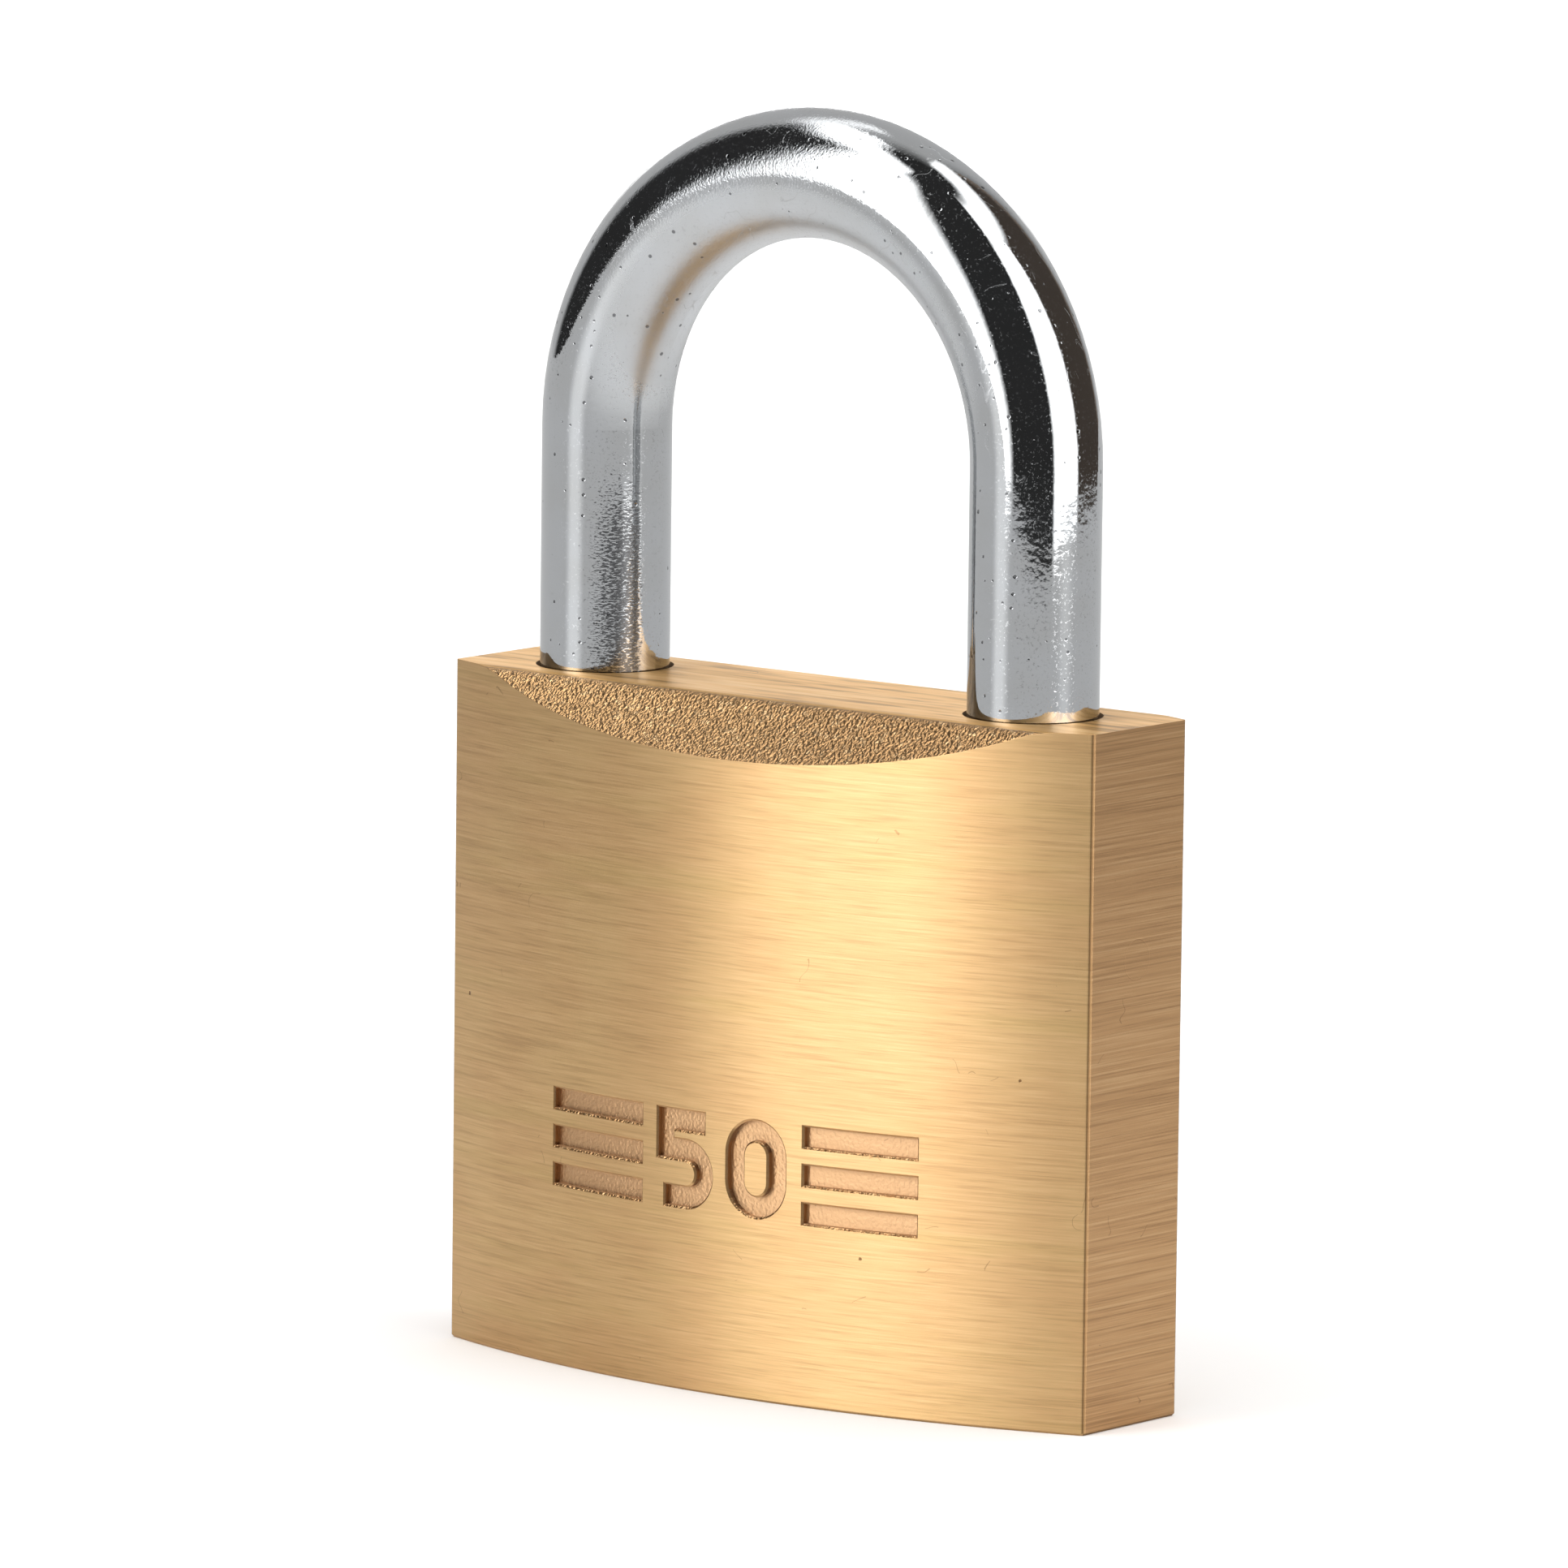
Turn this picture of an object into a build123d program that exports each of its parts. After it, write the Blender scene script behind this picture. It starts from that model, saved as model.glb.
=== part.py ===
from build123d import *
from math import hypot, sqrt
import os

# Solid brass padlock, 50 mm wide: a bowed body drilled from its base, left edge and top, a
# chrome-plated steel shackle held at both legs by two sprung bolts, and a five-pin cylinder
# whose cam draws the bolts together. Lengths in millimetres, angles in degrees.
#
# Origin at the middle of the body's base, +Z up. The toe, the leg that comes free, is on -X and
# the heel, which stays in the body, is on +X. The stamped face is on -Y. Everything stands as it
# does with the shackle pushed home and the cylinder turned to its open end.
os.makedirs("parts", exist_ok=True)

# ---------------------------------------------------------------- driving dimensions: body
body_width = 50.0
body_height = 42.9
middle_thickness = 18.1
edge_thickness = 9.2
corner_radius = 0.3
edge_break = 0.15
crown_drop = 3.46  # height lost to the bevel at the middle of each face
crown_land = 1.45  # flat top between a shackle hole and the bevel
crown_round = 1.0
crown_hollow = 0.08  # how far each bevel dips below a flat

# ---------------------------------------------------------------- driving dimensions: shackle
shackle_diameter = 8.1
shackle_clearance = 0.25  # to the hole, on each side
side_wall = 3.9  # brass outside each shackle hole
shackle_rise = 15.1  # straight leg standing above the body
notch_land = 2.2  # full section left below each notch
foot_height = 2.4
foot_chamfer = 0.4
toe_chamfer = 1.1
lift_margin = 0.55  # gap under the toe when the shackle is up
stop_gap = 0.1
heel_hole_floor = 2.5
toe_floor_gap = 0.35

# ---------------------------------------------------------------- driving dimensions: bolts
bolt_diameter = 6.6
bolt_clearance = 0.1
bolt_roof = 3.5  # brass above the cross bore
bolt_travel = 2.55
toe_grip = 2.2  # how far the thrown bolt stands inside the toe
heel_grip = 1.55
notch_clearance = 0.25
neck_clearance = 0.2
split_gap = 0.3  # between the two bolts' overlapping halves
bolt_gap = 0.4  # between an arm's end and the other bolt's head
spring_gap = 0.65  # from the middle to each upper half when drawn back
lug_thickness = 1.5
strip_height = 1.15  # web left above the slot in each arm
nose_slant_length = 2.2
nose_slant_start = 0.4  # above the bolt's axis
nose_chamfer = 0.4

# ---------------------------------------------------------------- driving dimensions: cylinder
plug_diameter = 12.0
plug_clearance = 0.05
plug_recess = 0.15
plug_edge = 0.3
open_turn = 70.0
cam_diameter = 8.6
cam_thickness = 2.7
cam_clearance = 0.2
cam_drop = 0.4  # from the cam's face to the cross bore
cam_pin_diameter = 1.8
cam_pin_orbit = 2.9
cam_pin_gap = 0.5  # lost motion before a cam pin meets its lug
cam_pin_headroom = 0.2
slot_clearance = 0.3
tang_width = 2.0
tang_depth = 2.0
tang_setback = 0.3  # from the cam's edge in to each end of the tang
tang_clearance = 0.05

pin_count = 5
first_pin_z = 4.6
pin_diameter = 2.6
pin_clearance = 0.05
pin_end_chamfer = 0.25
driver_length = 4.0
pin_spring_length = 5.5
pin_spring_wire = 0.32
pin_spring_pitch = 0.75
key_cut_depths = [1.1, 2.3, 0.5, 1.7, 2.9]  # from the pin side of the keyway to each pin's tip
keyway_back = 3.0  # from the axis to the pin side of the keyway
keyway_width = 2.3
ward_depth = 0.45
ward_width = 1.2
pin_stop = 1.0  # past the axis, where each pin hole in the plug ends
keyway_end = 2.2  # past the last pin's axis

# ---------------------------------------------------------------- driving dimensions: small parts
plug_pin_diameter = 2.0
plug_pin_clearance = 0.1
groove_depth = 1.0
groove_drop = 3.2  # from the plug's top to the groove's middle
heel_pin_diameter = 2.5
heel_pin_clearance = 0.3
shackle_spring_wire = 0.9
shackle_spring_pitch = 1.6
shackle_spring_clearance = 0.6
bolt_spring_diameter = 2.4
bolt_spring_wire = 0.35
bolt_spring_pitch = 0.85
bolt_spring_clearance = 0.1
bolt_pocket_depth = 4.0
bolt_pocket_rise = 1.6  # above the bolt's axis
press_chamfer = 0.08
cross_plug_setback = 0.2

# ---------------------------------------------------------------- driving dimensions: mark
mark_height = 6.0
mark_stroke = 1.25
mark_depth = 0.45
mark_edge_break = 0.12
mark_centre_z = 14.4
digit_width = 4.4
digit_gap = 1.2
bar_length = 7.9
bar_gap = 1.35
five_waist = 0.55  # above the digit's middle

# ---------------------------------------------------------------- places worked out from the above
half_width = body_width / 2
bow_rise = (middle_thickness - edge_thickness) / 2
bow_radius = (half_width**2 + bow_rise**2) / (2 * bow_rise)
bow_centre_y = bow_radius - middle_thickness / 2  # of the stamped face
shackle_radius = shackle_diameter / 2
shackle_hole_radius = shackle_radius + shackle_clearance
leg_x = half_width - side_wall - shackle_hole_radius
bow_z = body_height + shackle_rise

bolt_radius = bolt_diameter / 2
cross_bore_radius = bolt_radius + bolt_clearance
bolt_z = body_height - bolt_roof - cross_bore_radius
notch_half_height = bolt_radius + notch_clearance
leg_inner_x = leg_x - shackle_radius
toe_nose_x = leg_inner_x + toe_grip - bolt_travel
heel_nose_x = leg_inner_x + heel_grip - bolt_travel
toe_notch_x = leg_inner_x + toe_grip + notch_clearance
neck_radius = shackle_radius - heel_grip - neck_clearance

shoulder_z = bolt_z - notch_half_height - notch_land  # toe's end, and top of the heel's neck
shackle_lift = body_height - shoulder_z + lift_margin
heel_pin_z = shoulder_z - heel_pin_clearance - heel_pin_diameter / 2
heel_pin_end_x = leg_x + neck_radius + heel_pin_clearance
foot_top_z = heel_pin_z - heel_pin_diameter / 2 - stop_gap - shackle_lift
foot_bottom_z = foot_top_z - foot_height

cam_pin_radius = cam_pin_diameter / 2
slot_ceiling_z = bolt_z - split_gap / 2 - strip_height
cam_pin_top_z = slot_ceiling_z - cam_pin_headroom
cam_top_z = bolt_z - cross_bore_radius - cam_drop
cam_bottom_z = cam_top_z - cam_thickness
cam_chamber_radius = cam_diameter / 2 + cam_clearance
lug_face_x = cam_pin_radius + cam_pin_gap + bolt_travel
arm_end_x = lug_face_x + lug_thickness
head_face_x = arm_end_x + bolt_gap

plug_radius = plug_diameter / 2
plug_bore_radius = plug_radius + plug_clearance
plug_top_z = cam_bottom_z - cam_clearance
plug_bore_top_z = plug_top_z + cam_clearance / 2
groove_z = plug_top_z - groove_drop
groove_radius = plug_radius - groove_depth
tang_length = cam_diameter - 2 * tang_setback
tang_slot_depth = tang_depth + cam_clearance

pin_radius = pin_diameter / 2
chamber_radius = pin_radius + pin_clearance
pin_pitch = (groove_z - first_pin_z) / pin_count
pin_heights = [first_pin_z + i * pin_pitch for i in range(pin_count)]
key_pin_outer_x = sqrt(plug_radius**2 - pin_radius**2) - plug_clearance / 2
driver_outer_x = plug_bore_radius + driver_length
chamber_plug_x = driver_outer_x + pin_spring_length

bolt_pocket_z = bolt_z + bolt_pocket_rise
bolt_pocket_x = spring_gap + bolt_pocket_depth


# ---------------------------------------------------------------- shared shapes
def bowed_block(inset, height):
    """Block with the body's bowed plan, its two long faces set in by inset."""
    middle, edge = middle_thickness / 2 - inset, edge_thickness / 2 - inset
    with BuildPart() as block:
        with BuildSketch():
            with BuildLine():
                ThreePointArc((-half_width, -edge), (0, -middle), (half_width, -edge))
                Line((half_width, -edge), (half_width, edge))
                ThreePointArc((half_width, edge), (0, middle), (-half_width, edge))
                Line((-half_width, edge), (-half_width, -edge))
            make_face()
            fillet(vertices(), radius=corner_radius)
        extrude(amount=height)
    return block.part


def coil_spring(start, direction, length, outer_diameter, wire, pitch):
    """Round wire spring that fills length from start along direction."""
    direction = Vector(direction)
    with BuildPart() as spring:
        with BuildLine() as path:
            Helix(
                pitch=pitch,
                height=length - wire,
                radius=(outer_diameter - wire) / 2,
                center=Vector(start) + direction * (wire / 2),
                direction=direction,
            )
        with BuildSketch(path.line ^ 0):
            Circle(wire / 2)
        sweep(is_frenet=True)
    return spring.part


def rod_along_x(start_x, end_x, z, radius, start_chamfer=0, end_chamfer=0):
    """Round rod parallel to X from start_x to end_x, with broken ends where asked."""
    with BuildPart() as rod:
        with BuildSketch(Plane.YZ.offset(start_x)):
            with Locations((0, z)):
                Circle(radius)
        extrude(amount=end_x - start_x)
        ends = rod.faces().filter_by(Axis.X).sort_by(Axis.X)
        if start_chamfer:
            chamfer(ends[0].edges(), start_chamfer)
        if end_chamfer:
            chamfer(ends[-1].edges(), end_chamfer)
    return rod.part


# ---------------------------------------------------------------- lock body
# The mark is the width in millimetres, with three bars on each side, sunk into the bowed face.
with BuildSketch() as digit_five:
    digit_right = (digit_width - mark_stroke) / 2
    digit_top = (mark_height - mark_stroke) / 2
    bowl_radius = (digit_top + five_waist) / 2
    bowl_x = digit_right - bowl_radius
    with BuildLine():
        Polyline(
            (digit_right, digit_top),
            (-digit_right, digit_top),
            (-digit_right, five_waist),
            (bowl_x, five_waist),
        )
        ThreePointArc(
            (bowl_x, five_waist), (digit_right, five_waist - bowl_radius), (bowl_x, -digit_top)
        )
        Line((bowl_x, -digit_top), (-digit_right, -digit_top))
    trace(line_width=mark_stroke)

with BuildPart() as mark:
    digit_x = (digit_width + digit_gap) / 2
    bar_x = digit_x + digit_width / 2 + bar_gap + bar_length / 2
    with BuildSketch(Plane.XZ.offset(middle_thickness / 2 + 1)):
        with Locations((-digit_x, mark_centre_z)):
            add(digit_five.sketch)
        with Locations((digit_x, mark_centre_z)):
            SlotOverall(mark_height, digit_width, rotation=90)
            SlotOverall(
                mark_height - 2 * mark_stroke,
                digit_width - 2 * mark_stroke,
                rotation=90,
                mode=Mode.SUBTRACT,
            )
        with Locations((0, mark_centre_z)):
            with GridLocations(2 * bar_x, digit_top, 2, 3):
                Rectangle(bar_length, mark_stroke)
    extrude(amount=-middle_thickness / 2)
    add(bowed_block(mark_depth, body_height), mode=Mode.SUBTRACT)

with BuildPart() as lock_body:
    bevel_top_y = shackle_hole_radius + crown_land
    bevel_foot_y = middle_thickness / 2
    bevel_foot_z = body_height - crown_drop
    bevel_mid_y = (bevel_top_y + bevel_foot_y) / 2 - crown_hollow
    bevel_mid_z = (body_height + bevel_foot_z) / 2 - crown_hollow
    with BuildSketch(Plane.YZ):
        with BuildLine():
            Polyline((0, 0), (bevel_foot_y, 0), (bevel_foot_y, bevel_foot_z))
            ThreePointArc(
                (bevel_foot_y, bevel_foot_z), (bevel_mid_y, bevel_mid_z), (bevel_top_y, body_height)
            )
            Polyline((bevel_top_y, body_height), (0, body_height), (0, 0))
        make_face()
        mirror(about=Plane.YZ)
        fillet(vertices().group_by(Axis.Y)[-1], radius=crown_round)
    extrude(amount=body_width, both=True)
    add(bowed_block(0, body_height), mode=Mode.INTERSECT)
    chamfer(lock_body.faces().sort_by(Axis.Z)[0].edges(), edge_break)
    add(mark.part, mode=Mode.SUBTRACT)
    mark_rim = [
        edge
        for edge in lock_body.edges(Select.LAST)
        if hypot((edge @ 0.5).X, (edge @ 0.5).Y - bow_centre_y) > bow_radius - mark_depth / 4
    ]
    chamfer(mark_rim, mark_edge_break)

    # Shackle holes
    for x, floor_z in [(-leg_x, shoulder_z - toe_floor_gap), (leg_x, heel_hole_floor)]:
        with BuildSketch(Plane.XY.offset(floor_z)):
            with Locations((x, 0)):
                Circle(shackle_hole_radius)
        extrude(amount=body_height - floor_z, mode=Mode.SUBTRACT)

    # Cross bore for the bolts, from the left edge through to the heel hole
    add(rod_along_x(-half_width, leg_x, bolt_z, cross_bore_radius), mode=Mode.SUBTRACT)

    # Cylinder bore, then the narrower cam chamber above it
    with BuildSketch(Plane.XY):
        Circle(plug_bore_radius)
    extrude(amount=plug_bore_top_z, mode=Mode.SUBTRACT)
    with BuildSketch(Plane.XY.offset(plug_bore_top_z)):
        Circle(cam_chamber_radius)
    extrude(amount=cam_pin_top_z + cam_pin_headroom - plug_bore_top_z, mode=Mode.SUBTRACT)

    # Pin chambers and the two cross pin holes
    for z in pin_heights:
        add(rod_along_x(-half_width, -plug_radius + 1, z, chamber_radius), mode=Mode.SUBTRACT)
    add(
        rod_along_x(-half_width, -plug_radius + 1, groove_z, plug_pin_diameter / 2),
        mode=Mode.SUBTRACT,
    )
    add(rod_along_x(leg_x, half_width, heel_pin_z, heel_pin_diameter / 2), mode=Mode.SUBTRACT)
lock_body.part.label = "lock_body"
export_step(lock_body.part, "parts/lock_body.step")

# ---------------------------------------------------------------- shackle
with BuildPart() as shackle:
    with BuildLine():
        Line((-leg_x, 0, shoulder_z), (-leg_x, 0, bow_z))
        ThreePointArc((-leg_x, 0, bow_z), (0, 0, bow_z + leg_x), (leg_x, 0, bow_z))
        Line((leg_x, 0, bow_z), (leg_x, 0, foot_bottom_z))
    with BuildSketch(Plane.XY.offset(shoulder_z)):
        with Locations((-leg_x, 0)):
            Circle(shackle_radius)
    sweep()
    leg_ends = shackle.faces().filter_by(Plane.XY).sort_by(Axis.X)
    chamfer(leg_ends[0].edges(), toe_chamfer)
    chamfer(leg_ends[-1].edges(), foot_chamfer)

    # Notches on the inner sides, one for each bolt
    notch_height = 2 * notch_half_height
    with BuildSketch(Plane.XZ):
        with Locations((-toe_notch_x, bolt_z)):
            Rectangle(shackle_radius * 2, notch_height, align=(Align.MIN, Align.CENTER))
        with Locations((leg_x - neck_radius, bolt_z)):
            Rectangle(shackle_radius * 2, notch_height, align=(Align.MAX, Align.CENTER))
    extrude(amount=shackle_radius, both=True, mode=Mode.SUBTRACT)

    # Turned neck that rides past the retaining pin
    with BuildSketch(Plane.XY.offset(foot_top_z)):
        with Locations((leg_x, 0)):
            Circle(shackle_radius + shackle_clearance)
            Circle(neck_radius, mode=Mode.SUBTRACT)
    extrude(amount=shoulder_z - foot_top_z, mode=Mode.SUBTRACT)
shackle.part.label = "shackle"
export_step(shackle.part, "parts/shackle.step")


# ---------------------------------------------------------------- bolts
def bolt_blank(nose_x):
    """Bolt for the toe side, drawn back: full head, upper half to the middle, lower front arm."""
    with BuildPart() as blank:
        add(rod_along_x(-nose_x, arm_end_x, bolt_z, bolt_radius))
        # Lower back quarter, where the other bolt's arm slides
        with BuildSketch(Plane.YZ.offset(-head_face_x)):
            with Locations((-split_gap / 2, bolt_z + split_gap / 2)):
                Rectangle(bolt_diameter, bolt_diameter, align=(Align.MIN, Align.MAX))
        extrude(amount=head_face_x + arm_end_x, mode=Mode.SUBTRACT)
        # Upper half past the middle
        with BuildSketch(Plane.YZ.offset(-spring_gap)):
            with Locations((0, bolt_z - split_gap / 2)):
                Rectangle(bolt_diameter, bolt_diameter, align=(Align.CENTER, Align.MIN))
        extrude(amount=spring_gap + arm_end_x, mode=Mode.SUBTRACT)
        # Slot for the cam pin, which leaves the lug at the arm's end
        slot_start_x = -cam_pin_radius - slot_clearance
        with BuildSketch(Plane.YZ.offset(slot_start_x)):
            with Locations((0, slot_ceiling_z)):
                Rectangle(bolt_diameter, bolt_diameter, align=(Align.CENTER, Align.MAX))
        extrude(amount=lug_face_x - slot_start_x, mode=Mode.SUBTRACT)
        add(
            rod_along_x(
                -bolt_pocket_x,
                -spring_gap,
                bolt_pocket_z,
                bolt_spring_diameter / 2 + bolt_spring_clearance,
            ),
            mode=Mode.SUBTRACT,
        )
    return blank.part


with BuildPart() as toe_bolt:
    add(bolt_blank(toe_nose_x))
    # Slant that lets the falling toe push the bolt back
    with BuildSketch(Plane.XZ):
        with BuildLine():
            Polyline(
                (-toe_nose_x, bolt_z + nose_slant_start),
                (-toe_nose_x + nose_slant_length, bolt_z + bolt_radius),
                (-toe_nose_x, bolt_z + bolt_radius),
                close=True,
            )
        make_face()
    extrude(amount=bolt_radius, both=True, mode=Mode.SUBTRACT)
toe_bolt.part.label = "toe_bolt"
export_step(toe_bolt.part, "parts/toe_bolt.step")

with BuildPart() as heel_bolt:
    add(bolt_blank(heel_nose_x), rotation=(0, 0, 180))
    chamfer(heel_bolt.faces().filter_by(Axis.X).sort_by(Axis.X)[-1].edges(), nose_chamfer)
heel_bolt.part.label = "heel_bolt"
export_step(heel_bolt.part, "parts/heel_bolt.step")

with BuildPart() as bolt_spring:
    add(
        coil_spring(
            (-bolt_pocket_x, 0, bolt_pocket_z),
            (1, 0, 0),
            2 * bolt_pocket_x,
            bolt_spring_diameter,
            bolt_spring_wire,
            bolt_spring_pitch,
        )
    )
bolt_spring.part.label = "bolt_spring"
export_step(bolt_spring.part, "parts/bolt_spring.step")

# ---------------------------------------------------------------- cylinder plug and cam
# Both are shaped in line with the pin chambers, then turned to the open end of their travel.
with BuildPart() as plug_in_line:
    with BuildSketch(Plane.XY.offset(plug_recess)):
        Circle(plug_radius)
    extrude(amount=plug_top_z - plug_recess)
    chamfer(plug_in_line.faces().sort_by(Axis.Z)[0].edges(), plug_edge)

    # Warded keyway, open on the side away from the pins
    side, step = keyway_width / 2, keyway_width / 2 - ward_depth
    ward_x = pin_stop + ward_width / 2
    with BuildSketch(Plane.XY.offset(plug_recess)):
        with BuildLine():
            Polyline(
                (-keyway_back, side),
                (ward_x, side),
                (ward_x, step),
                (ward_x + ward_width, step),
                (ward_x + ward_width, side),
                (plug_radius, side),
                (plug_radius, -side),
                (plug_radius - ward_width, -side),
                (plug_radius - ward_width, -step),
                (plug_radius - 2 * ward_width, -step),
                (plug_radius - 2 * ward_width, -side),
                (-keyway_back, -side),
                close=True,
            )
        make_face()
    extrude(amount=pin_heights[-1] + keyway_end - plug_recess, mode=Mode.SUBTRACT)

    for z in pin_heights:
        add(rod_along_x(-plug_radius, pin_stop, z, chamber_radius), mode=Mode.SUBTRACT)

    # Ring groove for the retaining pin
    groove_width = plug_pin_diameter + 2 * plug_pin_clearance
    with BuildSketch(Plane.XY.offset(groove_z - groove_width / 2)):
        Circle(plug_radius)
        Circle(groove_radius, mode=Mode.SUBTRACT)
    extrude(amount=groove_width, mode=Mode.SUBTRACT)

    # Slot for the cam's tang
    with BuildSketch(Plane.XY.offset(plug_top_z)):
        Rectangle(tang_width + 2 * tang_clearance, tang_length + 2 * tang_clearance)
    extrude(amount=-tang_slot_depth, mode=Mode.SUBTRACT)

with BuildPart() as plug:
    add(plug_in_line.part, rotation=(0, 0, open_turn))
plug.part.label = "plug"
export_step(plug.part, "parts/plug.step")

with BuildPart() as cam_in_line:
    with BuildSketch(Plane.XY.offset(cam_bottom_z)):
        Circle(cam_diameter / 2)
    extrude(amount=cam_thickness)
    with BuildSketch(Plane.XY.offset(cam_top_z)):
        with Locations((0, -cam_pin_orbit), (0, cam_pin_orbit)):
            Circle(cam_pin_radius)
    extrude(amount=cam_pin_top_z - cam_top_z)
    with BuildSketch(Plane.XY.offset(cam_bottom_z)):
        Rectangle(tang_width, tang_length)
    extrude(amount=-(cam_bottom_z - plug_top_z + tang_depth))

with BuildPart() as cam:
    add(cam_in_line.part, rotation=(0, 0, open_turn))
cam.part.label = "cam"
export_step(cam.part, "parts/cam.step")

# ---------------------------------------------------------------- pins, their springs and plugs
for number, (z, cut_depth) in enumerate(zip(pin_heights, key_cut_depths), start=1):
    key_pin_tip_x = keyway_back - cut_depth
    with BuildPart() as key_pin:
        add(
            rod_along_x(
                -key_pin_outer_x, -key_pin_tip_x, z, pin_radius, pin_end_chamfer, pin_radius / 2
            ),
            rotation=(0, 0, open_turn),
        )
    key_pin.part.label = f"key_pin_{number}"
    export_step(key_pin.part, f"parts/key_pin_{number}.step")

    with BuildPart() as driver_pin:
        add(
            rod_along_x(
                -driver_outer_x, -plug_bore_radius, z, pin_radius, pin_end_chamfer, pin_end_chamfer
            )
        )
    driver_pin.part.label = f"driver_pin_{number}"
    export_step(driver_pin.part, f"parts/driver_pin_{number}.step")

    with BuildPart() as pin_spring:
        add(
            coil_spring(
                (-chamber_plug_x, 0, z),
                (1, 0, 0),
                pin_spring_length,
                pin_diameter - 2 * pin_clearance,
                pin_spring_wire,
                pin_spring_pitch,
            )
        )
    pin_spring.part.label = f"pin_spring_{number}"
    export_step(pin_spring.part, f"parts/pin_spring_{number}.step")

    with BuildPart() as chamber_plug:
        add(rod_along_x(-half_width, -chamber_plug_x, z, chamber_radius, press_chamfer))
    chamber_plug.part.label = f"chamber_plug_{number}"
    export_step(chamber_plug.part, f"parts/chamber_plug_{number}.step")

# ---------------------------------------------------------------- retaining pins and bore plug
with BuildPart() as plug_retaining_pin:
    plug_pin_end_x = groove_radius + plug_pin_clearance
    add(rod_along_x(-half_width, -plug_pin_end_x, groove_z, plug_pin_diameter / 2, press_chamfer))
plug_retaining_pin.part.label = "plug_retaining_pin"
export_step(plug_retaining_pin.part, "parts/plug_retaining_pin.step")

with BuildPart() as shackle_retaining_pin:
    add(rod_along_x(heel_pin_end_x, half_width, heel_pin_z, heel_pin_diameter / 2))
shackle_retaining_pin.part.label = "shackle_retaining_pin"
export_step(shackle_retaining_pin.part, "parts/shackle_retaining_pin.step")

with BuildPart() as bolt_bore_plug:
    cross_plug_end_x = half_width - side_wall + cross_plug_setback
    add(rod_along_x(-half_width, -cross_plug_end_x, bolt_z, cross_bore_radius, press_chamfer))
bolt_bore_plug.part.label = "bolt_bore_plug"
export_step(bolt_bore_plug.part, "parts/bolt_bore_plug.step")

# ---------------------------------------------------------------- shackle spring
with BuildPart() as shackle_spring:
    add(
        coil_spring(
            (leg_x, 0, heel_hole_floor),
            (0, 0, 1),
            foot_bottom_z - heel_hole_floor,
            2 * (shackle_hole_radius - shackle_spring_clearance),
            shackle_spring_wire,
            shackle_spring_pitch,
        )
    )
shackle_spring.part.label = "shackle_spring"
export_step(shackle_spring.part, "parts/shackle_spring.step")
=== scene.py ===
import math

import bpy
from mathutils import Matrix, Vector


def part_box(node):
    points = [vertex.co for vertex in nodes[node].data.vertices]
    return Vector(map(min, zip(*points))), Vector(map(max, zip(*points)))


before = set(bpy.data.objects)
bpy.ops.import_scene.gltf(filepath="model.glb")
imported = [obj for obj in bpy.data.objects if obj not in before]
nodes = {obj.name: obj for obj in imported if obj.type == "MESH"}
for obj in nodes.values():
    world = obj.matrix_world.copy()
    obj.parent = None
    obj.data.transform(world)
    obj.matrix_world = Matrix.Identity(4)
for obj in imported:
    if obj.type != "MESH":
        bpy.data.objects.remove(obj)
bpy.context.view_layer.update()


# ============================================================================ lock body
# Solid brass, drawn to its bowed section and sawn off. The bowed faces and the top are ground
# along their length, the two narrow edges more coarsely across, and each bevel keeps the pebbled
# skin it was forged with. The stamped number and bars have a matt, pinkish floor.
MM = 0.001
_, body_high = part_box("lock_body")
half_width = body_high.x / MM
half_middle = body_high.y / MM
half_edge = 4.6
face_bow = half_middle - half_edge
bow_radius = (half_width**2 + face_bow**2) / (2 * face_bow)
bow_centre_y = bow_radius - half_middle
mark_low_z, mark_high_z, mark_half_width = 11.0, 17.8, 15.0

# Grinding marks per mm along X, Y and Z, and depths and sizes in mm
face_grain = (0.22, 0.09, 8.5)
flat_grain = (0.11, 0.99, 8.5)
grain_depth, streak_depth = 0.0045, 0.006
pebbles_per_mm, pebble_depth, stamp_floor_depth = 4.8, 0.12, 0.03
glint_height, nick_depth = 0.03, 0.02
body_edge_round = 0.06

ground_brass = (0.680, 0.446, 0.212, 1)
reddened_brass = (0.665, 0.420, 0.200, 1)
olive_brass = (0.640, 0.435, 0.190, 1)
edge_brass = (0.635, 0.378, 0.182, 1)
# Painted light: the top and base faces take a brighter, redder brass, for the top lit from above
painted_light_top_brass = (0.820, 0.500, 0.195, 1)
skin_brass = (0.540, 0.325, 0.150, 1)
stamped_brass = (0.690, 0.435, 0.235, 1)
bright_brass = (0.95, 0.68, 0.38, 1)
# Dark brown for dirt in nicks, scuffs and grinding marks, and for painted shade on the bevel, the stamp
# walls and the corner rounds
dirt_and_shade_brown = (0.16, 0.075, 0.03, 1)


def node(tree, kind, **settings):
    """Adds one shader node. A setting is one of the node's properties or, failing that, an input."""
    made = tree.nodes.new("ShaderNode" + kind)
    for key, value in settings.items():
        if hasattr(made, key):
            setattr(made, key, value)
        else:
            made.inputs[key.replace("_", " ")].default_value = value
    return made


def feed(tree, socket, value):
    """Gives an input socket either another node's output or a plain value."""
    if isinstance(value, bpy.types.NodeSocket):
        tree.links.new(value, socket)
    elif value is not None:
        socket.default_value = value


def maths(tree, operation, a, b=None, c=None):
    """A Math node between sockets or numbers, and its output."""
    made = node(tree, "Math", operation=operation)
    for socket, value in zip(made.inputs, (a, b, c)):
        feed(tree, socket, value)
    return made.outputs[0]


def times(tree, *values):
    """The product of sockets and numbers."""
    product = values[0]
    for value in values[1:]:
        product = maths(tree, "MULTIPLY", product, value)
    return product


def total(tree, *values):
    """The sum of sockets and numbers."""
    amount = values[0]
    for value in values[1:]:
        amount = maths(tree, "ADD", amount, value)
    return amount


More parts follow.
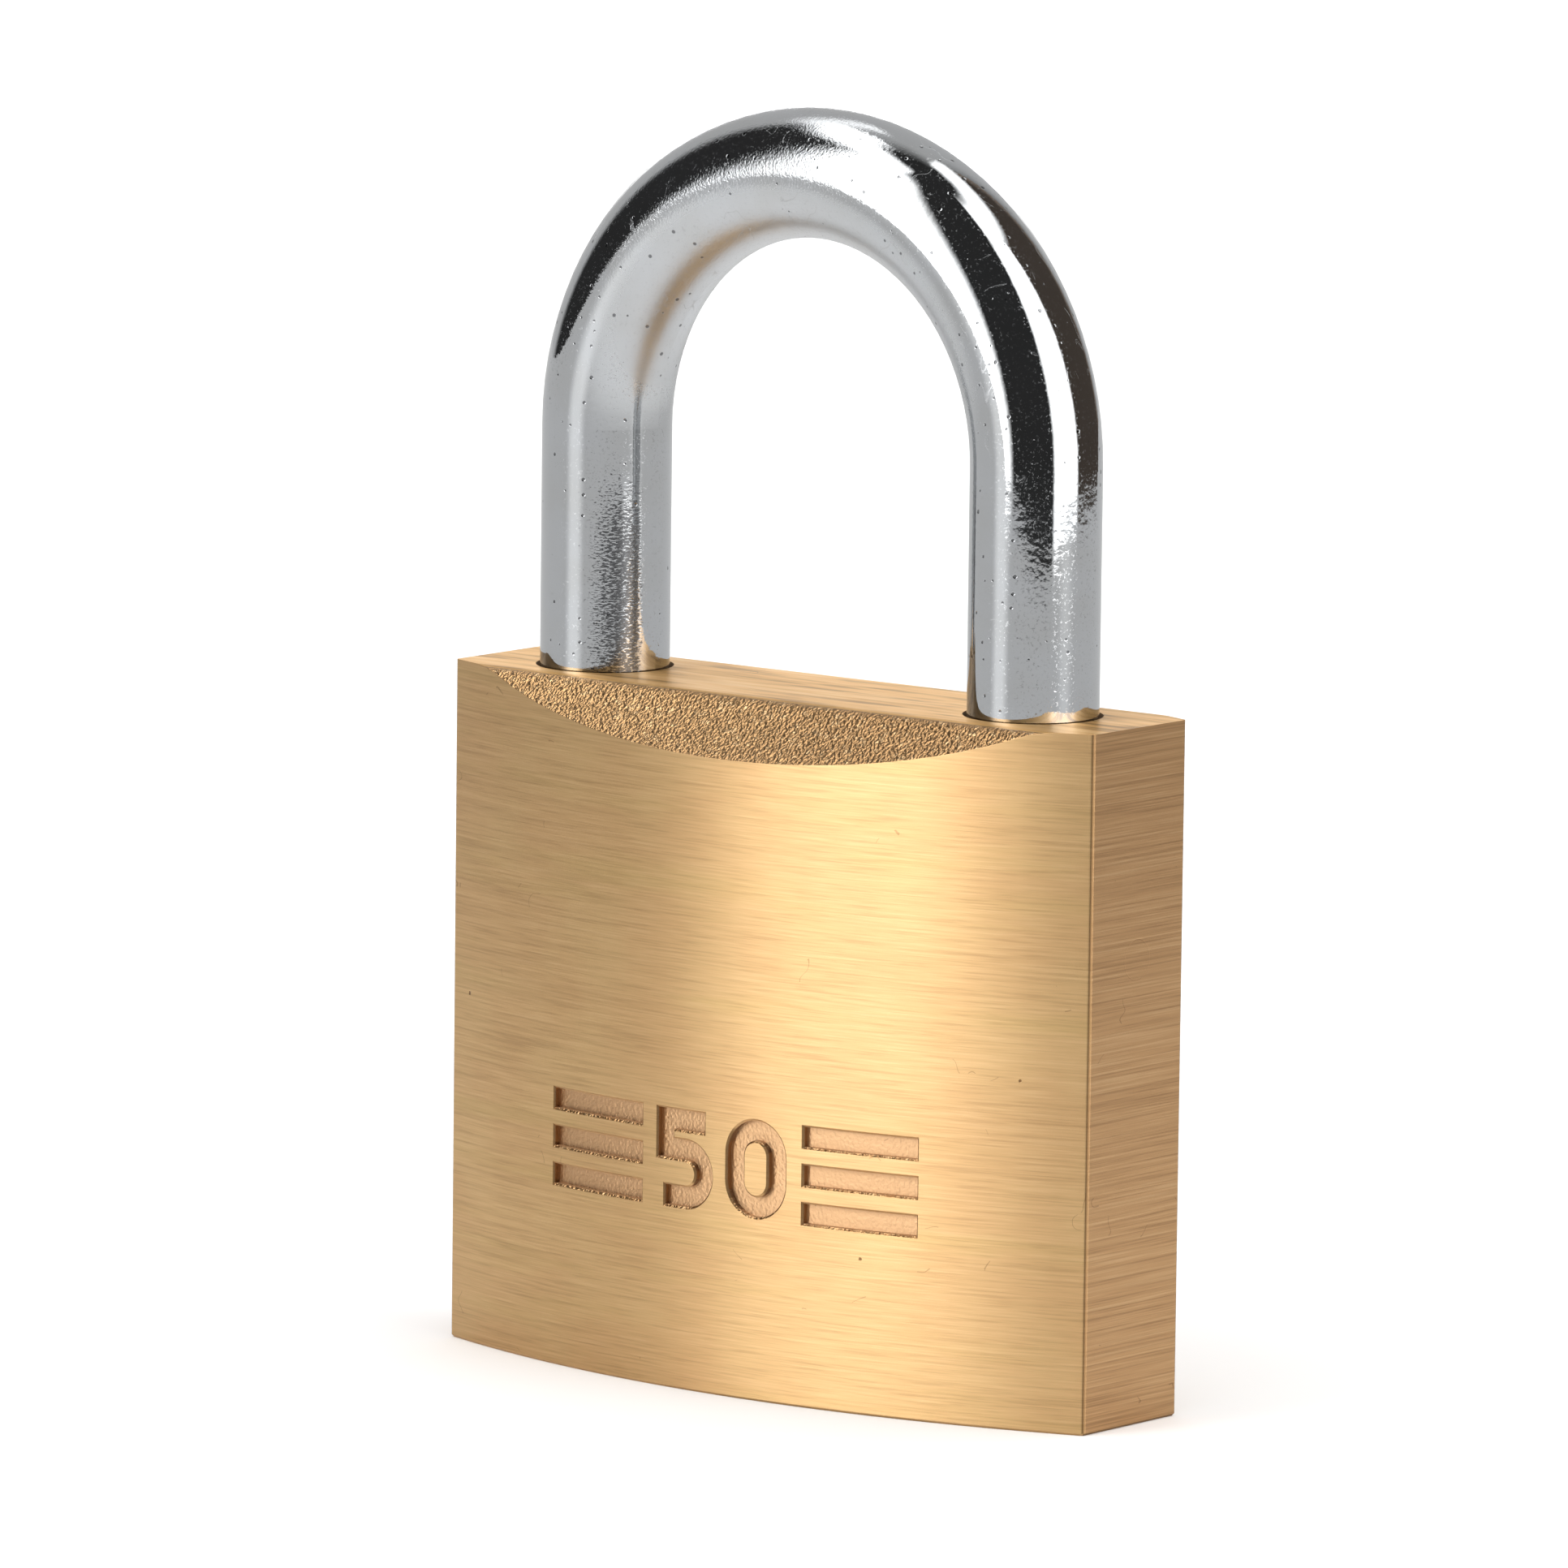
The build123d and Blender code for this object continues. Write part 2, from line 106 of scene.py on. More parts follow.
def between(tree, share, first, second):
    """A number that goes from first to second as share goes from 0 to 1."""
    return maths(tree, "MULTIPLY_ADD", share, second - first, first)


def vector_maths(tree, operation, a, b=None):
    """A Vector Math node between sockets or triples, and its output, a number where it gives one."""
    made = node(tree, "VectorMath", operation=operation)
    feed(tree, made.inputs[0], a)
    feed(tree, made.inputs[1], b)
    return made.outputs["Value" if operation in ("DOT_PRODUCT", "LENGTH") else "Vector"]


def ramp(tree, value, low, high, to_low=0.0, to_high=1.0):
    """Eases from to_low to to_high as value goes from low to high, and holds level outside."""
    made = node(tree, "MapRange", interpolation_type="SMOOTHSTEP")
    for socket, number in zip(made.inputs[:5], (value, low, high, to_low, to_high)):
        feed(tree, socket, number)
    return made.outputs[0]


def blend_colour(tree, share, first, second):
    """A colour between first and second, by share."""
    made = node(tree, "Mix", data_type="RGBA")
    feed(tree, made.inputs["Factor"], share)
    feed(tree, made.inputs[6], first)
    feed(tree, made.inputs[7], second)
    return made.outputs[2]


def layered(tree, colour, *layers):
    """Lays pairs of a share and a colour over a first colour, one after another."""
    for share, over in layers:
        colour = blend_colour(tree, share, colour, over)
    return colour


def combine(tree, x, y, z):
    """A vector from three sockets or numbers."""
    made = node(tree, "CombineXYZ")
    for socket, value in zip(made.inputs, (x, y, z)):
        feed(tree, socket, value)
    return made.outputs[0]


def split(tree, vector):
    """The three parts of a vector."""
    made = node(tree, "SeparateXYZ")
    tree.links.new(vector, made.inputs[0])
    return made.outputs


def noise(tree, vector, scale, detail=2.0, roughness=0.5):
    """Smooth random value about 0.5 at a point."""
    made = node(tree, "TexNoise", Scale=scale, Detail=detail, Roughness=roughness)
    tree.links.new(vector, made.inputs["Vector"])
    return made.outputs[0]


def new_effect(name, inputs, outputs):
    """An empty shader node group with named sockets, and its two end nodes."""
    effect = bpy.data.node_groups.new(name, "ShaderNodeTree")
    new_socket = effect.interface.new_socket
    for socket_name, kind, value in inputs:
        socket = new_socket(socket_name, in_out="INPUT", socket_type="NodeSocket" + kind)
        if value is not None:
            socket.default_value = value
    for socket_name, kind in outputs:
        new_socket(socket_name, in_out="OUTPUT", socket_type="NodeSocket" + kind)
    start, end = effect.nodes.new("NodeGroupInput"), effect.nodes.new("NodeGroupOutput")
    return effect, start.outputs, end.inputs


def place(tree, effect, **values):
    """Puts an effect group in a material with its own values, and returns its outputs."""
    made = tree.nodes.new("ShaderNodeGroup")
    made.node_tree = effect
    for key, value in values.items():
        feed(tree, made.inputs[key.replace("_", " ")], value)
    return made.outputs


def new_finish(name, **constants):
    """A material with one Principled shader, its plain values set, and its tree and shader."""
    finish = bpy.data.materials.new(name)
    finish.use_nodes = True
    shader = finish.node_tree.nodes["Principled BSDF"]
    for key, value in constants.items():
        shader.inputs[key.replace("_", " ")].default_value = value
    return finish, finish.node_tree, shader


def set_relief(tree, shader, height, normal=None):
    """Bumps the shader's normal by a height in millimetres, over a normal of its own if given."""
    relief = node(tree, "Bump", Strength=1.0, Distance=MM)
    tree.links.new(height, relief.inputs["Height"])
    if normal is not None:
        tree.links.new(normal, relief.inputs["Normal"])
    tree.links.new(relief.outputs[0], shader.inputs["Normal"])


def wear(finish, *names):
    """Gives each named CAD piece this finish."""
    for name in names:
        nodes[name].data.materials.clear()
        nodes[name].data.materials.append(finish)


def point_in_mm(tree):
    """The piece's own coordinates in millimetres, and its normal."""
    place_of = node(tree, "TexCoord")
    point = vector_maths(tree, "MULTIPLY", place_of.outputs["Object"], (1 / MM, 1 / MM, 1 / MM))
    return point, place_of.outputs["Normal"]


# Grinding marks: a fine, long grain and a coarser one under it, stretched by Stretch (per mm)
brush_grain, g, out = new_effect(
    "brush grain",
    [("Point", "Vector", None), ("Stretch", "Vector", (0.2, 0.2, 9.0))],
    [("Grain", "Float"), ("Streak", "Float")],
)
stretched = vector_maths(brush_grain, "MULTIPLY", g["Point"], g["Stretch"])
brush_grain.links.new(noise(brush_grain, stretched, 1.0, 3.0, 0.6), out["Grain"])
brush_grain.links.new(noise(brush_grain, stretched, 0.36, 3.0, 0.6), out["Streak"])

# Specks: one round spot in some of the cells of a random lattice, Spacing and Size in mm
specks, g, out = new_effect(
    "specks",
    [
        ("Point", "Vector", None),
        ("Spacing", "Float", 3.0),
        ("Size", "Float", 0.1),
        ("Share", "Float", 0.4),
    ],
    [("Mask", "Float")],
)
spacing = combine(specks, g["Spacing"], g["Spacing"], g["Spacing"])
cells = node(specks, "TexVoronoi", Scale=1.0)
specks.links.new(vector_maths(specks, "DIVIDE", g["Point"], spacing), cells.inputs["Vector"])
chance = split(specks, cells.outputs["Color"])
chosen = maths(specks, "LESS_THAN", chance[0], g["Share"])
reach = maths(specks, "DIVIDE", times(specks, g["Size"], chance[1]), g["Spacing"])
inside = maths(specks, "DIVIDE", cells.outputs["Distance"], total(specks, reach, 0.001))
specks.links.new(times(specks, chosen, ramp(specks, inside, 0.6, 1.0, 1, 0)), out["Mask"])

# Hair scratches: thin wandering lines where a stretched noise crosses its middle, in patches
hair_scratches, g, out = new_effect(
    "hair scratches",
    [
        ("Point", "Vector", None),
        ("Stretch", "Vector", (0.2, 0.2, 0.2)),
        ("Width", "Float", 0.006),
        ("Patch", "Float", 0.62),
    ],
    [("Mask", "Float")],
)
stretched = vector_maths(hair_scratches, "MULTIPLY", g["Point"], g["Stretch"])
past_middle = maths(hair_scratches, "SUBTRACT", noise(hair_scratches, stretched, 1.0, 1.0), 0.5)
line = maths(hair_scratches, "LESS_THAN", maths(hair_scratches, "ABSOLUTE", past_middle), g["Width"])
where = maths(hair_scratches, "GREATER_THAN", noise(hair_scratches, g["Point"], 0.35, 2.0), g["Patch"])
hair_scratches.links.new(times(hair_scratches, line, where), out["Mask"])

# Worn edges: rounds sharp edges by Radius (mm) and marks where they are
worn_edges, g, out = new_effect(
    "worn edges",
    [("Radius", "Float", 0.1)],
    [("Edge", "Float"), ("Normal", "Vector")],
)
rounding = node(worn_edges, "Bevel", samples=4)
worn_edges.links.new(times(worn_edges, g["Radius"], MM), rounding.inputs["Radius"])
flatness = vector_maths(
    worn_edges, "DOT_PRODUCT", rounding.outputs[0], node(worn_edges, "NewGeometry").outputs["Normal"]
)
worn_edges.links.new(ramp(worn_edges, flatness, 0.80, 0.985, 1, 0), out["Edge"])
worn_edges.links.new(rounding.outputs[0], out["Normal"])

body_brass, tree, shader = new_finish("body brass", Metallic=1.0, Anisotropic=0.8)
point, normal = point_in_mm(tree)
x, y, z = split(tree, point)
nx, _, nz = split(tree, normal)

# Which part of the body a point is on, by the way its surface faces
square_on = (0.93, 0.97)
facing_x, facing_z = maths(tree, "ABSOLUTE", nx), maths(tree, "ABSOLUTE", nz)
is_flat = ramp(tree, facing_z, *square_on)
is_top = ramp(tree, nz, *square_on)
is_edge = ramp(tree, facing_x, *square_on)
is_bevel = times(tree, ramp(tree, nz, 0.30, 0.45), maths(tree, "SUBTRACT", 1.0, is_flat))
is_corner = maths(tree, "SUBTRACT", ramp(tree, facing_x, 0.45, 0.60), is_edge)

# How far the stamp has gone in below the bowed face, and which part of it is wall
from_bow_axis = combine(tree, x, maths(tree, "SUBTRACT", y, bow_centre_y), 0.0)
sunk = maths(tree, "SUBTRACT", bow_radius, vector_maths(tree, "LENGTH", from_bow_axis))
in_stamp = times(
    tree,
    ramp(tree, sunk, 0.06, 0.16),
    maths(tree, "LESS_THAN", maths(tree, "ABSOLUTE", x), mark_half_width),
    maths(tree, "LESS_THAN", y, 0.0),
    maths(tree, "LESS_THAN", z, mark_high_z),
    maths(tree, "GREATER_THAN", z, mark_low_z),
)
facing_out = vector_maths(
    tree, "DOT_PRODUCT", vector_maths(tree, "NORMALIZE", from_bow_axis), normal
)
stamp_wall = times(tree, in_stamp, ramp(tree, facing_out, 0.5, 0.95, 1, 0))

# The ground skin's marks, the forged skin's pebbles, and what has happened to both since
stretch = combine(
    tree, *[between(tree, is_flat, face, flat) for face, flat in zip(face_grain, flat_grain)]
)
grain = place(tree, brush_grain, Point=point, Stretch=stretch)
patina = noise(tree, point, 0.14, 3.0)
patina_edge = noise(tree, vector_maths(tree, "MULTIPLY", point, (0.05, 0.05, 0.5)), 1.0, 3.0)
pebbles = noise(tree, point, pebbles_per_mm, 1.0, 0.5)
# Raised grit on the bevel, also painted bright as glints
grit_and_painted_glints = place(tree, specks, Point=point, Spacing=0.32, Size=0.25, Share=0.5)["Mask"]
grit_and_painted_glints = times(tree, grit_and_painted_glints, is_bevel)
nicks = place(tree, specks, Point=point, Spacing=2.6, Size=0.16, Share=0.10)["Mask"]
scuffs = place(
    tree, hair_scratches, Point=point, Stretch=(0.4, 0.4, 0.5), Width=0.006, Patch=0.67
)["Mask"]
edges = place(tree, worn_edges, Radius=body_edge_round)
plain_skin = maths(tree, "SUBTRACT", 1.0, maths(tree, "MAXIMUM", is_bevel, in_stamp))
marked = times(
    tree, plain_skin, total(tree, 0.45, times(tree, is_edge, 0.30), times(tree, is_top, 0.9))
)

colour = layered(
    tree,
    blend_colour(tree, ramp(tree, patina, 0.35, 0.65), reddened_brass, ground_brass),
    (ramp(tree, patina_edge, 0.5, 0.75, 0, 0.6), olive_brass),
    (is_edge, edge_brass),
    # painted light: brighter brass on the flat top and base
    (is_flat, painted_light_top_brass),
    (is_bevel, skin_brass),
    # painted shade: the bevel darkens towards +X
    (times(tree, is_bevel, ramp(tree, x, -16.0, 16.0, 0, 0.26)), dirt_and_shade_brown),
    (in_stamp, stamped_brass),
    (times(tree, marked, ramp(tree, grain["Streak"], 0.45, 0.72, 0, 0.15)), dirt_and_shade_brown),
    (times(tree, marked, ramp(tree, grain["Grain"], 0.48, 0.70, 0, 0.42)), dirt_and_shade_brown),
    (times(tree, marked, ramp(tree, grain["Grain"], 0.30, 0.50, 0.38, 0)), bright_brass),
    (times(tree, nicks, 0.8), dirt_and_shade_brown),
    (times(tree, scuffs, 0.35), dirt_and_shade_brown),
    # grime and painted shade on the walls of the stamp
    (times(tree, stamp_wall, 0.45), dirt_and_shade_brown),
    # painted highlight: glints on the bevel's grit
    (times(tree, grit_and_painted_glints, 0.30), bright_brass),
    (times(tree, edges["Edge"], 0.5), edge_brass),
    # painted shade: the rounded vertical corners are darkened to dim their bright reflected line
    (times(tree, is_corner, 0.60), dirt_and_shade_brown),
)
tree.links.new(colour, shader.inputs["Base Color"])
rough = total(
    tree,
    0.27,
    times(tree, grain["Streak"], 0.14),
    times(tree, is_flat, 0.10),
    times(tree, in_stamp, 0.16),
    times(tree, edges["Edge"], 0.3),
    times(tree, is_corner, 0.15),
)
tree.links.new(rough, shader.inputs["Roughness"])
height = total(
    tree,
    times(tree, grain["Grain"], plain_skin, grain_depth),
    times(tree, grain["Streak"], plain_skin, streak_depth),
    times(tree, pebbles, is_bevel, pebble_depth),
    times(tree, grit_and_painted_glints, glint_height),
    times(tree, pebbles, in_stamp, stamp_floor_depth),
    times(tree, nicks, -nick_depth),
)
set_relief(tree, shader, height, edges["Normal"])

# The marks run along X, and along Y on the two narrow edges
along = node(
    tree, "VectorTransform", vector_type="VECTOR", convert_from="OBJECT", convert_to="WORLD"
)
marks_along = combine(tree, maths(tree, "SUBTRACT", 1.0, is_edge), total(tree, is_edge, 0.001), 0.0)
tree.links.new(marks_along, along.inputs[0])
tree.links.new(along.outputs[0], shader.inputs["Tangent"])
shader.inputs["Anisotropic Rotation"].default_value = 0.25
wear(body_brass, "lock_body")


# ============================================================================ pins and plugs in the body
# Lengths of brass rod pressed into their holes and ground off flush with the body, so they carry
# the same marks, and only a hairline shows around each.
pressed_in = [name for name in nodes if name.startswith("chamber_plug_")]
wear(body_brass, "bolt_bore_plug", "plug_retaining_pin", "shackle_retaining_pin", *pressed_in)


# ============================================================================ shackle
# Round steel bar bent hot, then plated with bright chrome over an orange-peel ground. The toe leg
# is pitted where the plating is thin, and the crown carries a few scuffs.
_, shackle_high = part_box("shackle")
bar_radius = shackle_high.y / MM

# Heights in mm of what stands up from the plated skin or goes into it
swell_height = 0.30
sand_height, pit_height, peel_height, fine_peel_height = 0.012, 0.012, 0.0035, 0.0016
speck_depth, scuff_depth = 0.01, 0.004

chrome_grey = (0.545, 0.560, 0.575, 1)
warm_chrome = (0.52, 0.53, 0.535, 1)
pit_black = (0.05, 0.05, 0.055, 1)

shackle_chrome, tree, shader = new_finish("shackle chrome", Metallic=1.0)
point, normal = point_in_mm(tree)
x, y, z = split(tree, point)
nx, ny, nz = split(tree, normal)

# On the toe leg: how far round from the front, in mm of surface, and where the plating is thin
on_toe = maths(tree, "LESS_THAN", x, 0.0)
facing_turn = maths(tree, "ARCTAN2", nx, times(tree, ny, -1.0))
round_leg = times(tree, facing_turn, bar_radius)
pit_patch = times(
    tree,
    ramp(tree, round_leg, 0.6, 4.0),
    ramp(tree, round_leg, 4.7, 5.5, 1, 0),
    ramp(tree, z, 50.5, 57.5, 1, 0),
    on_toe,
)
skin = combine(tree, times(tree, round_leg, 3.2), 0.0, times(tree, z, 7.5))
pits = noise(tree, skin, 1.0, 2.0, 0.55)
pit_limit = between(tree, pit_patch, 0.30, 0.57)
deep = times(
    tree,
    ramp(tree, maths(tree, "SUBTRACT", pit_limit, pits), -0.04, 0.05),
    maths(tree, "GREATER_THAN", pit_patch, 0.01),
)

# The toe leg swells very slightly into the bend, and the crown is sandy
leg_swell = times(tree, ramp(tree, z, 46.0, 70.0, 0, swell_height), on_toe)
crown = times(
    tree,
    ramp(tree, x, -19.0, -9.0),
    ramp(tree, x, 2.0, 10.0, 1, 0),
    ramp(tree, z, 62.0, 69.0),
)
sand = noise(tree, point, 6.0, 2.0, 0.6)
peel = noise(tree, point, 1.1, 2.0, 0.5)
fine_peel = noise(tree, point, 3.0, 2.0, 0.5)
spots = place(tree, specks, Point=point, Spacing=0.75, Size=0.16, Share=0.62)["Mask"]
scuffs = place(
    tree, hair_scratches, Point=point, Stretch=(0.5, 0.5, 0.2), Width=0.005, Patch=0.57
)["Mask"]
scuffs = times(tree, scuffs, ramp(tree, z, 58.0, 62.0))

colour = layered(
    tree,
    blend_colour(tree, ramp(tree, noise(tree, point, 0.25, 2.0), 0.3, 0.7), chrome_grey, warm_chrome),
    (times(tree, deep, 0.75), pit_black),
    (times(tree, spots, 0.7), pit_black),
)
tree.links.new(colour, shader.inputs["Base Color"])

# A share of the skin, finer than the eye can part, is hazy, and so is the underside of the bow
rough = total(
    tree,
    ramp(tree, noise(tree, point, 6.0, 3.0, 0.7), 0.56, 0.66, 0.03, 0.26),
    times(tree, deep, 0.2),
    ramp(tree, nz, -0.28, -0.01, 0.30, 0),
    times(tree, scuffs, 0.2),
)
tree.links.new(rough, shader.inputs["Roughness"])
height = total(
    tree,
    times(tree, peel, peel_height),
    times(tree, fine_peel, fine_peel_height),
    times(tree, sand, crown, sand_height),
    times(tree, pits, pit_patch, pit_height),
    times(tree, spots, -speck_depth),
    times(tree, scuffs, -scuff_depth),
    leg_swell,
)
set_relief(tree, shader, height)
wear(shackle_chrome, "shackle")


# ============================================================================ bolts and cam
# Two half-lapped bolts and the cam that draws them together, milled from free-cutting steel and
# left as machined, with a thin film of oil.
machined_grey = (0.42, 0.42, 0.43, 1)
oiled_grey = (0.27, 0.26, 0.25, 1)
worn_grey = (0.62, 0.62, 0.62, 1)
bolt_edge_round = 0.10
tool_mark_depth = 0.008

machined_steel, tree, shader = new_finish("machined steel", Metallic=1.0, Anisotropic=0.4)
point, _ = point_in_mm(tree)
grain = place(tree, brush_grain, Point=point, Stretch=(0.5, 7.0, 7.0))
film = noise(tree, point, 0.5, 3.0)
edges = place(tree, worn_edges, Radius=bolt_edge_round)
colour = layered(
    tree,
    blend_colour(tree, ramp(tree, film, 0.4, 0.65), machined_grey, oiled_grey),
    (ramp(tree, grain["Grain"], 0.55, 0.8, 0, 0.5), oiled_grey),
    (times(tree, edges["Edge"], 0.6), worn_grey),
)
tree.links.new(colour, shader.inputs["Base Color"])
tree.links.new(ramp(tree, film, 0.35, 0.7, 0.38, 0.24), shader.inputs["Roughness"])
set_relief(tree, shader, times(tree, grain["Grain"], tool_mark_depth), edges["Normal"])
wear(machined_steel, "toe_bolt", "heel_bolt", "cam")


# ============================================================================ cylinder plug
# Brass bar turned to a running fit, with the keyway broached through its face. Turning leaves
# fine rings round the barrel and on the face, and keys leave the face scuffed.
turned_brass = (0.74, 0.47, 0.205, 1)
dull_brass = (0.55, 0.33, 0.14, 1)
scuffed_brass = (0.90, 0.66, 0.36, 1)
rubbed_brass = (0.92, 0.68, 0.36, 1)
plug_ring_pitch, plug_ring_depth = 0.14, 0.010
plug_scuff_depth = 0.006
plug_edge_round = 0.12

# Turning rings: round the barrel by how far Along the axis, and on its end by how far Out
turning_rings, g, out = new_effect(
    "turning rings",
    [("Along", "Float", 0.0), ("Out", "Float", 0.0), ("Pitch", "Float", 0.12)],
    [("Ring", "Float")],
)
per_mm = maths(turning_rings, "DIVIDE", 1.0, g["Pitch"])
rings = combine(
    turning_rings, times(turning_rings, g["Along"], per_mm), times(turning_rings, g["Out"], per_mm), 0.0
)
turning_rings.links.new(noise(turning_rings, rings, 1.0, 2.0), out["Ring"])

plug_brass, tree, shader = new_finish("plug brass", Metallic=1.0)
point, _ = point_in_mm(tree)
x, y, z = split(tree, point)
from_axis = vector_maths(tree, "LENGTH", combine(tree, x, y, 0.0))
ring = place(tree, turning_rings, Along=z, Out=from_axis, Pitch=plug_ring_pitch)["Ring"]
patina = noise(tree, point, 0.4, 3.0)
scuffs = place(
    tree, hair_scratches, Point=point, Stretch=(0.4, 0.4, 0.4), Width=0.008, Patch=0.5
)["Mask"]
edges = place(tree, worn_edges, Radius=plug_edge_round)
colour = layered(
    tree,
    blend_colour(tree, ramp(tree, patina, 0.38, 0.68), turned_brass, dull_brass),
    (ramp(tree, ring, 0.55, 0.8, 0, 0.4), dull_brass),
    (times(tree, scuffs, 0.5), scuffed_brass),
    (times(tree, edges["Edge"], 0.6), rubbed_brass),
)
tree.links.new(colour, shader.inputs["Base Color"])
tree.links.new(ramp(tree, ring, 0.3, 0.7, 0.24, 0.36), shader.inputs["Roughness"])
height = total(tree, times(tree, ring, plug_ring_depth), times(tree, scuffs, -plug_scuff_depth))
set_relief(tree, shader, height, edges["Normal"])
wear(plug_brass, "plug")


# ============================================================================ key pins and driver pins
# Five pairs of brass pins, turned one after another from thin rod, the key pins to five lengths
# and to a point. The rings of the tool show along each.
pin_gold = (0.78, 0.52, 0.235, 1)
pin_shade = (0.60, 0.37, 0.15, 1)
rubbed_gold = (0.95, 0.72, 0.42, 1)
open_turn = math.radians(70)
pin_ring_pitch, pin_ring_depth = 0.10, 0.006
pin_edge_round = 0.08


def pin_finish(name, turned_by):
    """Turned brass for pins that lie along -X, turned by an angle about the plug's axis."""
    finish, tree, shader = new_finish(name, Metallic=1.0)
    point, _ = point_in_mm(tree)
    pin_axis = (math.cos(turned_by), math.sin(turned_by), 0.0)
    lengthwise = vector_maths(tree, "DOT_PRODUCT", point, pin_axis)
    ring = place(tree, turning_rings, Along=lengthwise, Out=0.0, Pitch=pin_ring_pitch)["Ring"]
    edges = place(tree, worn_edges, Radius=pin_edge_round)
    colour = layered(
        tree,
        blend_colour(tree, ramp(tree, ring, 0.4, 0.75), pin_gold, pin_shade),
        (times(tree, edges["Edge"], 0.6), rubbed_gold),
    )
    tree.links.new(colour, shader.inputs["Base Color"])
    tree.links.new(ramp(tree, ring, 0.3, 0.7, 0.20, 0.34), shader.inputs["Roughness"])
    set_relief(tree, shader, times(tree, ring, pin_ring_depth), edges["Normal"])
    return finish


key_pins = [name for name in nodes if name.startswith("key_pin_")]
driver_pins = [name for name in nodes if name.startswith("driver_pin_")]
wear(pin_finish("key pin brass", open_turn), *key_pins)
wear(pin_finish("driver pin brass", 0.0), *driver_pins)


# ============================================================================ springs
# Music wire, drawn and coiled: one between the bolts, one behind each driver pin, and a stout one
# under the shackle's foot. Drawing leaves a dark, slightly streaky skin.
wire_grey = (0.36, 0.365, 0.375, 1)
wire_dark = (0.17, 0.165, 0.16, 1)
heat_brown = (0.30, 0.24, 0.17, 1)
rust_black = (0.05, 0.045, 0.04, 1)
drawn_depth = 0.008

spring_wire, tree, shader = new_finish("spring wire", Metallic=1.0)
point, _ = point_in_mm(tree)
skin = noise(tree, point, 3.0, 4.0, 0.6)
heat = noise(tree, point, 0.7, 2.0)
spots = place(tree, specks, Point=point, Spacing=0.6, Size=0.1, Share=0.25)["Mask"]
colour = layered(
    tree,
    blend_colour(tree, ramp(tree, skin, 0.35, 0.7), wire_grey, wire_dark),
    (ramp(tree, heat, 0.5, 0.7, 0, 0.4), heat_brown),
    (times(tree, spots, 0.7), rust_black),
)
tree.links.new(colour, shader.inputs["Base Color"])
tree.links.new(ramp(tree, skin, 0.3, 0.7, 0.28, 0.46), shader.inputs["Roughness"])
set_relief(tree, shader, times(tree, skin, drawn_depth))
pin_springs = [name for name in nodes if name.startswith("pin_spring_")]
wear(spring_wire, "bolt_spring", "shackle_spring", *pin_springs)


# ============================================================================ the view
# The lock stands on its base, turned so that its stamped face and its heel edge both show,
# seen from a little above through a long lens.
view_azimuth = 38.464
view_elevation = 8.148
view_roll = -0.676
view_distance = 0.86776
view_lens = 323.66
view_aim = Vector((-0.001504, -0.001195, 0.03697))

across, up = math.radians(view_azimuth), math.radians(view_elevation)
towards_camera = Vector(
    (math.sin(across) * math.cos(up), -math.cos(across) * math.cos(up), math.sin(up))
)
camera = bpy.data.objects.new("camera", bpy.data.cameras.new("camera"))
camera.data.lens = view_lens
camera.data.sensor_width = 36
camera.data.clip_start = 0.01
camera.matrix_world = (
    Matrix.Translation(view_aim + towards_camera * view_distance)
    @ towards_camera.to_track_quat("Z", "Y").to_matrix().to_4x4()
    @ Matrix.Rotation(-math.radians(view_roll), 4, "Z")
)
bpy.context.scene.collection.objects.link(camera)
bpy.context.scene.camera = camera
bpy.context.scene.view_settings.view_transform = "Standard"


# ============================================================================ the studio
# A dark room with a pale sheet behind the lock, two tall soft boxes and two more overhead.
# Only mirrored light shows them: matt surfaces get an even light, and the camera sees plain
# white. Azimuths are in degrees to the right of the camera's.
#           azimuth, half width, elevation, half height, strength, softness
soft_panels = [
    (-62, 15, 23, 40, 4.0, 8.5),
    (53, 22, 24, 37, 3.2, 4),
    (-104, 50, 66, 9, 3.2, 5),
    (92, 60, 68, 8, 3.2, 5),
]
sheet_panels = [
    (180, 35, 15, 60, 0.60, 12),
    (-150, 18, 15, 60, 0.60, 8),
    (180, 14, 9, 6, 3.2, 6),
    (-160, 22, 55, 6, 1.8, 5),
]
side_room_panel = (115, 50, 20, 45, 12)
side_room_tint = (1.0, 0.80, 0.66, 1)
side_room_strength = 0.045
dim_glow = 0.3  # where the room is dimmer than this, the side room's tint shows
room_shade = 0.035
even_light = 1.35

world = bpy.data.worlds.new("studio")
bpy.context.scene.world = world
world.use_nodes = True
tree = world.node_tree
tree.nodes.clear()
dx, dy, dz = split(tree, node(tree, "TexCoord").outputs["Generated"])
elevation = times(tree, maths(tree, "ARCSINE", dz), math.degrees(1))


def turn_from(tree, x, y, turned_to):
    """How many degrees the way to x, y is from one turned_to to the right of the camera's."""
    azimuth = times(tree, maths(tree, "ARCTAN2", x, times(tree, y, -1.0)), math.degrees(1))
    turn = maths(tree, "SUBTRACT", azimuth, turned_to + view_azimuth)
    return maths(tree, "ABSOLUTE", maths(tree, "WRAP", turn, 180.0, -180.0))


def panel_mask(turned_to, half_wide, height, half_tall, softness):
    """1 inside a panel of the studio and 0 outside it, with a soft edge."""
    turn = turn_from(tree, dx, dy, turned_to)
    rise = maths(tree, "ABSOLUTE", maths(tree, "SUBTRACT", elevation, height))
    wide = ramp(tree, turn, half_wide - softness, half_wide + softness, 1, 0)
    tall = ramp(tree, rise, half_tall - softness, half_tall + softness, 1, 0)
    return times(tree, wide, tall)


side_room = panel_mask(*side_room_panel)
glow = total(tree, room_shade, times(tree, side_room, side_room_strength))
for turned_to, half_wide, height, half_tall, strength, softness in sheet_panels + soft_panels:
    mask = panel_mask(turned_to, half_wide, height, half_tall, softness)
    glow = maths(tree, "MAXIMUM", glow, times(tree, mask, strength))

